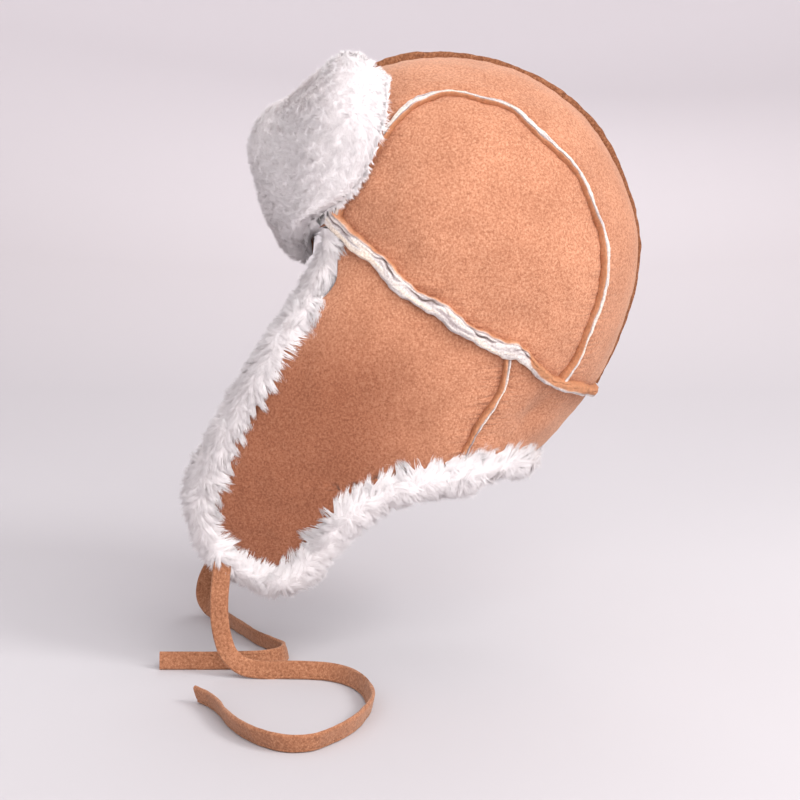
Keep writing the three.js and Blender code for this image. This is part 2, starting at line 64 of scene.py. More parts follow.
FLOOR_Z = -0.3617
LEVEL_Z = WALL - CROWN_RISE
SQUARE_REACH = 2.3
SQUARE_WIDTH = 2.1
DEGREE = math.pi / 180
# The hides' wool face under the lining strands gets a darker tone: painted shade among the strands.
LINING_PAINTED_SHADE_TONE = 0.55
MIRROR = np.array((-1, 1, 1))
SIDES = ("left", 1), ("right", -1)


def columns(names, rows):
    """A table with named columns, each an array."""
    return dict(zip(names.split(), np.array(rows, float).T))


OUTLINE = columns("bearing reach", [
    (-122, 0.797), (-110, 0.842), (-100, 0.91), (-90, 1.02), (-80, 1.16), (-70, 1.34), (-58, 1.62),
    (-47, 2.0), (-35, 2.2), (-19, 1.5), (-5, 1.05), (10, 0.88), (30, 0.95), (46, 1.015), (60, 1.045),
    (73, 1.03), (85, 1.0), (98, 0.985), (111, 0.983), (125, 0.994), (140, 1.004), (155, 0.997), (172, 1.003),
    (183, 0.985), (194, 0.958), (203, 0.938), (214, 0.91), (226, 0.845), (238, 0.797),
])
BASE_SEAM = columns("fore up", [
    (0.66, 0.27), (0.526, 0.145), (0.401, 0.061), (0.309, -0.02), (0.187, -0.09), (0.065, -0.121),
    (-0.079, -0.174), (-0.214, -0.241), (-0.304, -0.28), (-0.397, -0.342), (-0.494, -0.4), (-0.605, -0.45),
    (-0.7, -0.485), (-0.758, -0.503),
])
CROWN_SEAM = columns("fore up", [
    (0.645, 0.235), (0.61, 0.32), (0.557, 0.42), (0.453, 0.57), (0.315, 0.713), (0.2, 0.785), (0.055, 0.822),
    (-0.116, 0.792), (-0.262, 0.745), (-0.38, 0.657), (-0.503, 0.562), (-0.605, 0.456), (-0.68, 0.32),
    (-0.747, 0.19), (-0.76, 0.056), (-0.737, -0.1), (-0.684, -0.24), (-0.618, -0.349), (-0.494, -0.44),
])
EAR_SEAM = columns("fore up", [
    (-0.255, -0.262), (-0.224, -0.354), (-0.173, -0.4), (-0.11, -0.453), (-0.045, -0.518), (0.0, -0.57),
    (0.03, -0.62),
])
FUR_LINE = columns("fore up wide", [
    (0.675, 0.125, 0.8), (0.748, -0.029, 0.95), (0.83, -0.172, 1.0), (0.93, -0.287, 1.05),
    (1.004, -0.393, 1.05), (1.107, -0.506, 1.05), (1.233, -0.662, 1.0), (1.311, -0.787, 1.1),
    (1.365, -0.902, 1.05), (1.362, -0.988, 0.95), (1.29, -1.067, 0.9), (1.174, -1.112, 0.85),
    (1.02, -1.128, 0.9), (0.882, -1.09, 0.98), (0.78, -1.007, 1.0), (0.685, -0.919, 1.0),
    (0.567, -0.817, 1.05), (0.419, -0.73, 1.0), (0.252, -0.66, 1.0), (0.063, -0.624, 1.0),
    (-0.14, -0.615, 0.95), (-0.308, -0.64, 0.8), (-0.411, -0.69, 0.65),
])
EAR_ON_BASE = 7.5
CROWN_ON_BASE = 10.4
EAR_ON_FUR = 19.25
TIP_FRONT_ROW = 8.5
TIP_BACK_ROW = 13
BROW_BEARING = 10
DENTS = columns("fore up depth spread", [
    (0.38, 0.5, 0.45, 0.2), (-0.2, 0.35, -0.5, 0.42), (-0.33, -0.2, 0.35, 0.14), (0.3, 0.12, 0.35, 0.14),
    (-0.4, -0.5, 0.6, 0.12), (-0.2, -0.42, -0.3, 0.13), (0.75, -0.55, -0.5, 0.35), (0.35, -0.35, -0.3, 0.3),
])
FRONT_FLAP = columns("across midSide midFore midUp tipSide tipFore tipUp", [
    (-0.25, -0.05, 0.1, 0.4, -0.01, -0.09, 0.84),
    (0, 0, 0.16, 0.48, 0, -0.03, 0.74),
    (0.25, 0.05, 0.1, 0.4, 0.01, -0.09, 0.84),
    (0.5, 0.12, -0.02, 0.36, 0.05, -0.15, 0.94),
    (0.75, 0.15, -0.13, 0.4, 0.04, -0.22, 1.02),
    (1, 0.12, -0.28, 0.42, -0.02, -0.36, 1),
])

# Routes of the ties, from inside the fur of the flap's tip to the floor. Lean turns the strap about its way.
ON_EDGE = TIE_WIDTH / 2 + FLOOR_Z
TIE_ROUTES = {
    "tie_left": columns("x y z lean", [
        (0.069, -0.141, -0.292, 0), (0.070, -0.142, -0.303, 0), (0.071, -0.143, -0.314, 0),
        (0.072, -0.143, -0.326, 0), (0.074, -0.141, -0.338, 0), (0.076, -0.137, -0.348, 0),
        (0.078, -0.129, ON_EDGE + 0.002, 0), (0.079, -0.118, ON_EDGE, 0), (0.079, -0.104, ON_EDGE, 0),
        (0.080, -0.090, ON_EDGE, 0), (0.083, -0.077, ON_EDGE, 0), (0.091, -0.066, ON_EDGE, 0),
        (0.104, -0.058, ON_EDGE, 0), (0.120, -0.053, ON_EDGE, 0), (0.138, -0.051, ON_EDGE, 0),
        (0.156, -0.054, ON_EDGE, 0), (0.174, -0.060, ON_EDGE, 0), (0.191, -0.070, ON_EDGE, 0),
        (0.203, -0.081, ON_EDGE, 0), (0.205, -0.093, ON_EDGE, 0), (0.198, -0.106, ON_EDGE, 0),
        (0.184, -0.119, ON_EDGE, 0), (0.166, -0.129, ON_EDGE, 0), (0.147, -0.136, ON_EDGE, 0),
        (0.134, -0.143, ON_EDGE, 0), (0.124, -0.151, ON_EDGE, 0),
    ]),
    "tie_right": columns("x y z lean", [
        (-0.069, -0.143, -0.292, 0), (-0.069, -0.148, -0.305, 0), (-0.069, -0.155, -0.318, 0),
        (-0.069, -0.162, -0.330, 0), (-0.069, -0.167, -0.341, 0), (-0.066, -0.168, -0.350, 10),
        (-0.058, -0.164, ON_EDGE + 0.001, 30), (-0.045, -0.157, ON_EDGE, 60), (-0.028, -0.148, ON_EDGE, 80),
        (-0.008, -0.137, ON_EDGE, 85), (0.012, -0.126, ON_EDGE, 85), (0.028, -0.114, ON_EDGE, 85),
        (0.040, -0.106, ON_EDGE, 85), (0.051, -0.108, ON_EDGE, 85), (0.058, -0.118, ON_EDGE, 85),
        (0.060, -0.131, ON_EDGE, 85), (0.061, -0.147, ON_EDGE, 85), (0.061, -0.164, ON_EDGE, 85),
        (0.061, -0.181, ON_EDGE, 85),
    ]),
}


def unit(vectors):
    return vectors / np.maximum(np.linalg.norm(vectors, axis=-1, keepdims=True), 1e-12)


def read_rows(keys, values, at):
    """Values at places along the keys, on a smooth curve through the rows."""
    last = len(keys) - 1
    before = np.maximum(np.arange(last + 1) - 1, 0)
    after = np.minimum(np.arange(last + 1) + 1, last)
    slopes = (values[after] - values[before]) / (keys[after] - keys[before])
    to = np.clip(np.searchsorted(keys, at, side="right"), 1, last)
    span = keys[to] - keys[to - 1]
    t = np.clip((at - keys[to - 1]) / span, 0, 1)
    return (values[to - 1] * (2 * t**3 - 3 * t**2 + 1) + slopes[to - 1] * span * (t**3 - 2 * t**2 + t)
            + values[to] * (3 * t**2 - 2 * t**3) + slopes[to] * span * (t**3 - t**2))


def outline_reach(angle):
    first = OUTLINE["bearing"][0]
    bearing = np.mod(angle / DEGREE - first, 360) + first
    return read_rows(OUTLINE["bearing"], OUTLINE["reach"], bearing)


def rise_at(angle):
    return CROWN_RISE + (FLAP_DROP - CROWN_RISE) * np.minimum(np.sin(angle), 0) ** 2


def chart_of(fore, up):
    """Place on the chart of the left side: a disc from the side pole in its middle to the centre plane."""
    angle = np.arctan2(up, fore)
    share = np.minimum(np.hypot(fore, up) / outline_reach(angle), 1)
    tilt = np.arcsin(share ** (SQUARE_REACH / 2)) / (math.pi / 2)
    return np.stack([np.cos(angle) * tilt, np.sin(angle) * tilt], -1)


def polar(bearing, tilt):
    bearing = np.asarray(bearing, float) * DEGREE
    return np.stack([np.cos(bearing) * tilt, np.sin(bearing) * tilt], -1)


def centre_plane(bearings):
    return polar(bearings, np.ones(len(bearings)))


def form(at):
    """The smooth form without its dents."""
    angle = np.arctan2(at[..., 1], at[..., 0])
    turn = np.hypot(at[..., 0], at[..., 1]) * math.pi / 2
    reach = outline_reach(angle) * np.abs(np.sin(turn)) ** (2 / SQUARE_REACH)
    across = np.cos(turn)
    return np.stack([
        HALF_WIDTH * np.sign(across) * np.abs(across) ** (2 / SQUARE_WIDTH),
        -HALF_LENGTH * reach * np.cos(angle),
        LEVEL_Z + rise_at(angle) * reach * np.sin(angle),
    ], -1)


def normal_at(at):
    step = 0.01
    along = form(at + (step, 0)) - form(at - (step, 0))
    up = form(at + (0, step)) - form(at - (0, step))
    return unit(-np.cross(along, up))


DENT_PLACES = form(chart_of(DENTS["fore"], DENTS["up"]))


def relief(points):
    lift = np.zeros(points.shape[:-1])
    for place, depth, spread in zip(DENT_PLACES, DENTS["depth"], DENTS["spread"]):
        away = np.linalg.norm(points * np.where(points[..., :1] < 0, MIRROR, 1) - place, axis=-1)
        lift -= depth * WALL * np.exp(-(away / (spread * HALF_WIDTH)) ** 2)
    return lift


def skin(at):
    points = form(at)
    return points + normal_at(at) * relief(points)[..., None]


def lattice(cells, seed):
    """A repeatable number from 0 to 1 for each whole place."""
    i, j, k = (cells[..., way] for way in range(3))
    mixed = (i * 73856093) ^ (j * 19349663) ^ (k * 83492791) ^ (seed * 2654435)
    mixed = (mixed ^ (mixed >> 13)) * 1274126177 & 0x7FFFFFFF
    return (mixed ^ (mixed >> 16) & 0xFFFF) / 0x7FFFFFFF


def noise(points, size, seed=0):
    """Smooth noise from -1 to 1 with lumps of a size in metres."""
    scaled = points / size + 1000.0
    low = np.floor(scaled).astype(np.int64)
    part = scaled - low
    part = part * part * (3 - 2 * part)
    total = np.zeros(points.shape[:-1])
    for corner in np.ndindex(2, 2, 2):
        offset = np.array(corner)
        weight = np.prod(np.where(offset, part, 1 - part), axis=-1)
        total += weight * lattice(low + offset, seed)
    return total * 2 - 1


class Line:
    """A smooth curve through a table's rows, read by row number."""

    def __init__(self, table, names):
        self.points = np.stack([table[name] for name in names.split()], -1)
        self.end = len(self.points) - 1
        first = 2 * self.points[0] - self.points[1]
        last = 2 * self.points[-1] - self.points[-2]
        self.padded = np.vstack([first, self.points, last])

    def read(self, row):
        row = np.clip(np.atleast_1d(np.asarray(row, float)), 0, self.end)
        cell = np.minimum(row.astype(int), self.end - 1)
        t = (row - cell)[:, None]
        p0, p1, p2, p3 = (self.padded[cell + k] for k in range(4))
        spans = ((p0, p1), (p1, p2), (p2, p3))
        d0, d1, d2 = (np.sqrt(np.linalg.norm(b - a, axis=1))[:, None] for a, b in spans)
        s1 = ((p1 - p0) / d0 - (p2 - p0) / (d0 + d1) + (p2 - p1) / d1) * d1
        s2 = ((p2 - p1) / d1 - (p3 - p1) / (d1 + d2) + (p3 - p2) / d2) * d1
        return (p1 * (2 * t**3 - 3 * t**2 + 1) + s1 * (t**3 - 2 * t**2 + t)
                + p2 * (3 * t**2 - 2 * t**3) + s2 * (t**3 - t**2))


class Seam(Line):
    def __init__(self, table):
        if "wide" not in table:
            table = {**table, "wide": np.ones(len(table["fore"]))}
        super().__init__(table, "fore up wide")

    def chart(self, row):
        at = self.read(row)
        return chart_of(at[:, 0], at[:, 1])

    def place(self, row):
        return self.chart(row)[0]

    def wide(self, row):
        return self.read(row)[:, 2]

    def nearest(self, place):
        rows = np.linspace(0, self.end, 2000)
        return rows[np.argmin(np.linalg.norm(self.chart(rows) - place, axis=1))]


base = Seam(BASE_SEAM)
crown = Seam(CROWN_SEAM)
ear = Seam(EAR_SEAM)
edge = Seam(FUR_LINE)
BACK_BEARING = math.atan2(BASE_SEAM["up"][-1], BASE_SEAM["fore"][-1]) / DEGREE + 360
NAPE_BEARING = math.atan2(FUR_LINE["up"][-1], FUR_LINE["fore"][-1]) / DEGREE + 360
BASE_ON_CROWN = crown.nearest(base.place(CROWN_ON_BASE))


def stations(chart_at, rows):
    """Points along a seam on the leather face, with their normals and the way across the seam."""
    step = 0.02
    ahead = skin(chart_at(rows + step)) - skin(chart_at(rows - step))
    normal = normal_at(chart_at(rows))
    return skin(chart_at(rows)), normal, unit(np.cross(ahead, normal))


def round_back(point, normal, side):
    """A seam that runs round the back, from the left end to the right end."""
    return tuple(np.concatenate([way, (way * MIRROR)[::-1]]) for way in (point, normal, side))


# Every seam as a cloud of points, for the dip and the puckers that it gives the hide beside it.
def seam_cloud():
    clouds = []
    for chart_at, last in ((base.chart, base.end), (crown.chart, BASE_ON_CROWN), (ear.chart, ear.end - 1)):
        clouds.append(skin(chart_at(np.linspace(0, last, 400))))
    clouds.append(skin(centre_plane(np.linspace(BROW_BEARING, BACK_BEARING, 400))))
    return clouds


SEAM_CLOUDS = seam_cloud()
seam_tree = kdtree.KDTree(sum(len(cloud) for cloud in SEAM_CLOUDS))
seam_run = []
for cloud in SEAM_CLOUDS:
    run = np.concatenate([[0], np.cumsum(np.linalg.norm(np.diff(cloud, axis=0), axis=1))])
    for point, along in zip(cloud, run):
        seam_tree.insert(point, len(seam_run))
        seam_run.append(along)
seam_tree.balance()
seam_run = np.array(seam_run)


def hide_lift(points):
    """How far the leather face rises: it swells between seams, dips into them and puckers beside them."""
    flat = points.reshape(-1, 3)
    found = [seam_tree.find((abs(x), y, z)) for x, y, z in flat.tolist()]
    away = np.array([hit[2] for hit in found])
    run = seam_run[[hit[1] for hit in found]]
    pucker_phase = run / 0.011 * 2 * math.pi + 2.5 * noise(flat, 0.018, 3)
    pucker = 0.00055 * np.sin(pucker_phase) * np.exp(-away / 0.011) * (0.5 + 0.5 * noise(flat, 0.03, 4))
    lift = 0.0016 * (1 - np.exp(-(away / 0.03) ** 2)) - 0.0016 * np.exp(-(away / 0.005) ** 2) + pucker
    lift = (lift + 0.0011 * noise(flat, 0.032, 5) + 0.0005 * noise(flat, 0.013, 6)
            + 0.00022 * noise(flat, 0.005, 7))
    return lift.reshape(points.shape[:-1])


class Soup:
    """Points and faces gathered for one mesh."""

    def __init__(self):
        self.points, self.faces, self.kinds, self.normals, self.tones, self.marks = [], [], [], [], [], []
        self.count = 0

    def add(self, points, faces, kind=0, normals=None, tones=1.0, marks=0.0):
        points = points.reshape(-1, 3)
        self.points.append(points)
        for group in faces:
            self.faces.extend((np.asarray(group) + self.count).tolist())
        total = sum(len(group) for group in faces)
        self.kinds.append(np.broadcast_to(kind, total))
        self.normals.append(np.zeros_like(points) if normals is None else normals.reshape(-1, 3))
        self.tones.append(np.broadcast_to(tones, len(points)))
        self.marks.append(np.broadcast_to(marks, len(points)))
        self.count += len(points)
        return self

    def build(self, name, materials, own_normals=False):
        mesh = bpy.data.meshes.new(name)
        mesh.from_pydata(np.concatenate(self.points).tolist(), [], self.faces)
        for material in materials:
            mesh.materials.append(material)
        mesh.polygons.foreach_set("material_index", np.concatenate(self.kinds).astype(np.int32))
        mesh.polygons.foreach_set("use_smooth", np.ones(len(mesh.polygons), bool))
        for label, values in (("tone", self.tones), ("mark", self.marks)):
            layer = mesh.attributes.new(label, "FLOAT", "POINT")
            layer.data.foreach_set("value", np.concatenate(values).astype(np.float32))
        mesh.update()
        if own_normals:
            mesh.normals_split_custom_set_from_vertices(np.concatenate(self.normals).tolist())
        piece = bpy.data.objects.new(name, mesh)
        bpy.context.scene.collection.objects.link(piece)
        return piece


def grid_faces(rows, cols, around=False):
    """Squares of a grid of points, the last column joined to the first where it goes around."""
    i, j = np.meshgrid(np.arange(rows - 1), np.arange(cols if around else cols - 1), indexing="ij")
    k = (j + 1) % cols
    return np.stack([i * cols + j, (i + 1) * cols + j, (i + 1) * cols + k, i * cols + k], -1).reshape(-1, 4)


def volume(points, quads):
    a, b, c, d = (points[quads[:, k]] for k in range(4))
    return (np.einsum("ij,ij->i", a, np.cross(b, c)) + np.einsum("ij,ij->i", a, np.cross(c, d))).sum()


def grid_normals(points):
    return unit(np.cross(np.gradient(points, axis=0), np.gradient(points, axis=1)))


def tube(soup, rings, **options):
    """A closed sweep with flat ends."""
    rows, cols = rings.shape[:2]
    points = rings.reshape(-1, 3)
    quads = grid_faces(rows, cols, around=True)
    caps = [np.arange(cols)[::-1][None], (np.arange(cols) + (rows - 1) * cols)[None]]
    if volume(points - points.mean(0), quads) < 0:
        quads = quads[:, ::-1]
        caps = [cap[:, ::-1] for cap in caps]
    return soup.add(points, [quads, *caps], **options)


def scatter(rng, points, normals, count, *others):
    """Random places on a grid, spread by area, with what else the grid holds there."""
    a, b, c, d = points[:-1, :-1], points[1:, :-1], points[1:, 1:], points[:-1, 1:]
    area = np.linalg.norm(np.cross(c - a, d - b), axis=-1)
    pick = rng.choice(area.size, count, p=area.ravel() / area.sum())
    i, j = np.unravel_index(pick, area.shape)
    u, v = rng.random((2, count, 1))

    def mix(grid):
        return (grid[i, j] * (1 - u) * (1 - v) + grid[i + 1, j] * u * (1 - v)
                + grid[i + 1, j + 1] * u * v + grid[i, j + 1] * (1 - u) * v)

    return mix(points), unit(mix(normals)), *(mix(other) for other in others)


def strands(soup, rng, roots, normals, length, width, tuft, rise, pull, swirl, seed=0, dome=0.3, flow=None):
    """Wool: slim three-sided spikes that lie over in a slowly turning nap and draw together into soft tufts.

    The two upper sides of each are lit as part of its tuft's dome, and its underside by its own face."""
    # Roots get a darker tone than tips: painted shade among the strands.
    painted_root_shade, ridge_share, upward = 0.4, 0.5, 0.3
    count = len(roots)
    length, pull, dome = (np.broadcast_to(value, count)[:, None] for value in (length, pull, dome))
    centres = rng.permutation(count)[: max(count // tuft, 1)]
    near = kdtree.KDTree(len(centres))
    for index, centre in enumerate(roots[centres].tolist()):
        near.insert(centre, index)
    near.balance()
    group = np.array([near.find(root)[1] for root in roots.tolist()])
    middle, out = roots[centres], normals[centres]
    nap = np.stack([noise(middle, swirl, seed + k) for k in (1, 2, 3)], -1)
    nap = nap + rng.normal(size=middle.shape) * 0.25
    if flow is not None:
        nap = 0.8 * nap + flow[centres]
    nap = unit(nap - out * np.sum(nap * out, -1, keepdims=True))
    nap = nap * rng.uniform(0.6, 1.1, (len(centres), 1))
    tuft_long = rng.uniform(0.85, 1.15, (len(centres), 1))
    way = unit(normals * rise + nap[group] + rng.normal(size=(count, 3)) * 0.2)
    long = length * tuft_long[group] * rng.uniform(0.75, 1.1, (count, 1))
    tips = roots + way * long
    meet = middle[group] + unit(out * rise * 1.3 + nap)[group] * long
    tips = tips * (1 - pull) + meet * pull
    along = unit(tips - roots)
    wide = unit(np.cross(along, normals) + 0.1 * rng.normal(size=(count, 3)))
    lift = unit(np.cross(wide, along))
    outward = np.where(np.sum(lift * normals, -1, keepdims=True) < 0, -1, 1)
    wide, lift = wide * outward, lift * outward
    half = width / 2 * rng.uniform(0.7, 1.3, (count, 1))
    left, right, ridge = roots - wide * half, roots + wide * half, roots + lift * half * ridge_share
    away = (roots + tips) / 2 - middle[group]
    away = away - normals * np.sum(away * normals, -1, keepdims=True)
    radius = np.sqrt(np.mean(np.sum(away ** 2, -1))) * 1.5
    shade = normals + dome * away / radius + np.array((0, 0, upward)) + 0.05 * rng.normal(size=(count, 3))
    shade = unit(shade)
    points = np.stack([left, right, ridge, tips, left, right, tips], 1)
    shades = np.stack([shade] * 4 + [-lift] * 3, 1)
    tone = np.array([painted_root_shade] * 3 + [1.0] + [painted_root_shade] * 2 + [1.0]) * rng.uniform(0.78, 1.0, (count, 1))
    first = np.arange(count)[:, None] * 7
    sides = [first + np.array([corners]) for corners in ((0, 2, 3), (2, 1, 3), (5, 4, 6))]
    facing = np.cross(ridge - left, tips - left)
    inward = np.sum(facing * lift, -1) < 0
    sides = [np.where(inward[:, None], side[:, ::-1], side) for side in sides]
    return soup.add(points, sides, normals=shades, tones=tone.ravel())


# Materials
def new_material(name):
    material = bpy.data.materials.new(name)
    material.use_nodes = True
    graph = material.node_tree
    return material, graph, graph.nodes["Principled BSDF"]


def settings(node, values):
    for name, value in values.items():
        node.inputs[name].default_value = value


def noise_node(graph, scale, detail=4, rough=0.6, stretch=None, turn=0.0):
    """Noise over the piece's own space. It may be stretched along axes that are turned about X."""
    coords = graph.nodes.new("ShaderNodeTexCoord")
    node = graph.nodes.new("ShaderNodeTexNoise")
    settings(node, {"Scale": scale, "Detail": detail, "Roughness": rough})
    if stretch:
        mapping = graph.nodes.new("ShaderNodeMapping")
        settings(mapping, {"Rotation": (turn, 0, 0), "Scale": stretch})
        graph.links.new(coords.outputs["Object"], mapping.inputs["Vector"])
        graph.links.new(mapping.outputs["Vector"], node.inputs["Vector"])
    else:
        graph.links.new(coords.outputs["Object"], node.inputs["Vector"])
    return node.outputs["Fac"]


def ramp(graph, factor, stops):
    node = graph.nodes.new("ShaderNodeValToRGB")
    elements = node.color_ramp.elements
    while len(elements) < len(stops):
        elements.new(0.5)
    for element, (place, colour) in zip(elements, stops):
        element.position = place
        element.color = (*colour, 1)
    graph.links.new(factor, node.inputs["Fac"])
    return node.outputs["Color"]


def mixed(graph, factor, first, second, mode="MIX"):
    node = graph.nodes.new("ShaderNodeMix")
    node.data_type = "RGBA"
    node.blend_type = mode
    for socket, value in zip((node.inputs[0], node.inputs[6], node.inputs[7]), (factor, first, second)):
        if isinstance(value, bpy.types.NodeSocket):
            graph.links.new(value, socket)
        elif isinstance(value, float):
            socket.default_value = value
        else:
            socket.default_value = (*value, 1)
    return node.outputs[2]


def bumped(graph, shader, layers):
    """Bump from several heights, each with its strength and its depth in metres."""
    last = None
    for height, strength, distance in layers:
        node = graph.nodes.new("ShaderNodeBump")
        settings(node, {"Strength": strength, "Distance": distance})
        graph.links.new(height, node.inputs["Height"])
        if last:
            graph.links.new(last, node.inputs["Normal"])
        last = node.outputs["Normal"]
    graph.links.new(last, shader.inputs["Normal"])


def attribute(graph, name):
    node = graph.nodes.new("ShaderNodeAttribute")
    node.attribute_name = name
    return node.outputs["Fac"]


def suede_colour(graph, deep, mid, light):
    grain = ramp(graph, noise_node(graph, 700, 4, 0.8), [(0.35, deep), (0.5, mid), (0.66, light)])
    cloud = ramp(graph, noise_node(graph, 34, 5, 0.62), [(0.3, (0.84, 0.81, 0.79)), (0.7, (1.0, 1.0, 1.0))])
    patchy = ramp(graph, noise_node(graph, 9, 3), [(0.35, (0.93, 0.91, 0.90)), (0.65, (1.0, 1.0, 1.0))])
    # Where the tone attribute falls below 1 the suede is darkened: painted shade on the ear flaps.
    nap = ramp(graph, attribute(graph, "tone"), [(0.0, (0.5, 0.36, 0.30)), (1.0, (1.0, 1.0, 1.0))])
    colour = mixed(graph, 1.0, grain, cloud, "MULTIPLY")
    colour = mixed(graph, 1.0, colour, patchy, "MULTIPLY")
    return mixed(graph, 1.0, colour, nap, "MULTIPLY")


def creases(graph):
    """Fine creases beside the seams, along the base seam's way. Mark says how near a seam is."""
    noisy = noise_node(graph, 190, 3, 0.5, stretch=(0.5, 0.3, 2.2), turn=math.radians(38))
    times = graph.nodes.new("ShaderNodeMath")
    times.operation = "MULTIPLY"
    graph.links.new(noisy, times.inputs[0])
    graph.links.new(attribute(graph, "mark"), times.inputs[1])
    return times.outputs[0]


def suede(name, deep, mid, light, sheen=0.25):
    material, graph, shader = new_material(name)
    graph.links.new(suede_colour(graph, deep, mid, light), shader.inputs["Base Color"])
    settings(shader, {"Roughness": 0.88, "Specular IOR Level": 0.25, "Sheen Weight": sheen,
                      "Sheen Roughness": 0.5, "Sheen Tint": (1.0, 0.78, 0.62, 1)})
    bumped(graph, shader, [(noise_node(graph, 700, 4, 0.8), 0.6, 0.0006),
                           (noise_node(graph, 2200, 2), 0.5, 0.0003),
                           (noise_node(graph, 120, 4), 0.25, 0.0012), (creases(graph), 0.9, 0.0028)])
    return material


def wool(name, root, tip):
    material, graph, shader = new_material(name)
    # Tone mixes from the darker root colour (painted shade among strands) to the tip; per strand it varies at
    # random.
    toned = mixed(graph, attribute(graph, "tone"), root, tip)
    cloud = ramp(graph, noise_node(graph, 60, 4), [(0.3, (0.96, 0.955, 0.955)), (0.7, (1.0, 1.0, 1.0))])
    graph.links.new(mixed(graph, 1.0, toned, cloud, "MULTIPLY"), shader.inputs["Base Color"])
    settings(shader, {"Roughness": 0.95, "Specular IOR Level": 0.15, "Sheen Weight": 0.15})
    bumped(graph, shader, [(noise_node(graph, 500, 4, 0.7), 0.4, 0.0008)])
    return material


def cut_edge(name, wool_light, wool_deep, rim, leather):
    """The cut edge of the hide: clipped wool between thin lines of leather. Mark says how much is leather."""
    material, graph, shader = new_material(name)
    speckle = ramp(graph, noise_node(graph, 900, 4, 0.75), [(0.38, (0.72, 0.68, 0.67)), (0.58, (1, 1, 1))])
    # The darkest tones are painted shade in the crevices and at the welt's foot.
    toned = ramp(graph, attribute(graph, "tone"),
                 [(0.0, (0.25, 0.19, 0.17)), (0.3, wool_deep), (0.6, wool_light), (1.0, rim)])
    toned = mixed(graph, 1.0, toned, speckle, "MULTIPLY")
    worn = ramp(graph, noise_node(graph, 500, 3), [(0.3, (0.7, 0.7, 0.7)), (0.7, (1, 1, 1))])
    hide = mixed(graph, 1.0, leather, worn, "MULTIPLY")
    graph.links.new(mixed(graph, attribute(graph, "mark"), toned, hide), shader.inputs["Base Color"])
    settings(shader, {"Roughness": 0.93, "Specular IOR Level": 0.15})
    bumped(graph, shader, [(noise_node(graph, 700, 4, 0.75), 0.8, 0.0009)])
    return material


SUEDE = suede("suede", (0.36, 0.138, 0.072), (0.545, 0.238, 0.134), (0.70, 0.362, 0.222))
# A darker copy of the crown's suede for the ridge: painted shade on its side walls.
SHADED_SUEDE = suede("dark_suede", (0.13, 0.045, 0.02), (0.26, 0.10, 0.045), (0.44, 0.21, 0.11), 0.15)
TIE_SUEDE = suede("tie_suede", (0.25, 0.095, 0.045), (0.40, 0.165, 0.083), (0.56, 0.27, 0.15))
WOOL = wool("wool", (0.66, 0.60, 0.595), (0.90, 0.86, 0.865))
CUT_EDGE = cut_edge("cut_edge", (0.76, 0.70, 0.675), (0.45, 0.385, 0.385), (0.90, 0.77, 0.64),
                    (0.60, 0.27, 0.14))
THREAD = suede("thread", (0.20, 0.08, 0.035), (0.30, 0.13, 0.06), (0.38, 0.18, 0.09), 0.1)


def on_side(way, side):
    """A seam's points, normals and ways across, on the left as they are or mirrored to the right."""
    return [part * (1 if side > 0 else MIRROR) for part in way]


def place_piece(piece, slot, *nodes):
    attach(piece, "root")
    if nodes:
        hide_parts(*nodes)
    return piece


# Hide panels
def stretch(curve, first, last):
    return lambda share: curve.chart(first + (last - first) * share)


def straight(first, last):
    return lambda share: first + (last - first) * share[:, None]


def centre_line(first, last):
    return lambda share: polar(first + (last - first) * share, np.full(len(share), 0.9995))


def between(top, foot, front, back, along_count, down_count):
    """Chart places inside four edges that meet at their ends."""
    along, down = np.linspace(0, 1, along_count + 1), np.linspace(0, 1, down_count + 1)
    a, d = along[:, None, None], down[None, :, None]
    tops, feet, fronts, backs = top(along)[:, None], foot(along)[:, None], front(down)[None], back(down)[None]
    corners = (fronts[:, :1] * (1 - a) * (1 - d) + backs[:, :1] * a * (1 - d)
               + fronts[:, -1:] * (1 - a) * d + backs[:, -1:] * a * d)
    return tops * (1 - d) + feet * d + fronts * (1 - a) + backs * a - corners


def broken(first, second, share_of_first):
    def read(share):
        return np.where(share[:, None] < share_of_first, first(np.minimum(share / share_of_first, 1)),
                        second(np.maximum((share - share_of_first) / (1 - share_of_first), 0)))
    return read


def panel_places(name):
    if name == "crown_side":
        return between(stretch(crown, 0, BASE_ON_CROWN), stretch(base, 0, CROWN_ON_BASE),
                       straight(crown.place(0), base.place(0)),
                       straight(crown.place(BASE_ON_CROWN), base.place(CROWN_ON_BASE)), 96, 48)
    if name == "crown_top":
        return between(centre_line(BROW_BEARING, BACK_BEARING), stretch(crown, 0, BASE_ON_CROWN),
                       straight(polar(BROW_BEARING, 0.9995), crown.place(0)),
                       stretch(base, base.end, CROWN_ON_BASE), 130, 30)
    if name == "ear_flap":
        return between(stretch(base, 0.1, EAR_ON_BASE), stretch(edge, TIP_FRONT_ROW, TIP_BACK_ROW),
                       stretch(edge, 0, TIP_FRONT_ROW),
                       broken(stretch(ear, 0, ear.end - 1), stretch(edge, EAR_ON_FUR, TIP_BACK_ROW), 0.38),
                       64, 100)
    return between(stretch(base, EAR_ON_BASE, base.end), stretch(edge, EAR_ON_FUR, edge.end),
                   stretch(ear, 0, ear.end - 1), centre_line(BACK_BEARING, NAPE_BEARING), 50, 32)


def seam_nearness(points):
    """From 1 beside the base and crown seams to 0 a couple of centimetres away."""
    found = [seam_tree.find((abs(x), y, z))[2] for x, y, z in points.reshape(-1, 3).tolist()]
    patchy = 0.6 + 0.4 * noise(points.reshape(-1, 3), 0.02, 8)
    return np.exp(-(np.array(found) / 0.013) ** 2) * patchy


def flap_painted_shade(points):
    """Painted shade: darker suede towards the front and tip of the ear flaps, which turn from the light."""
    forward = np.clip((-points[..., 1] - 0.008) / 0.055, 0, 1)
    below = np.clip((-0.135 - points[..., 2]) / 0.045, 0, 1)
    return 1 - 0.75 * (forward * below) ** 0.8


LINING = {}


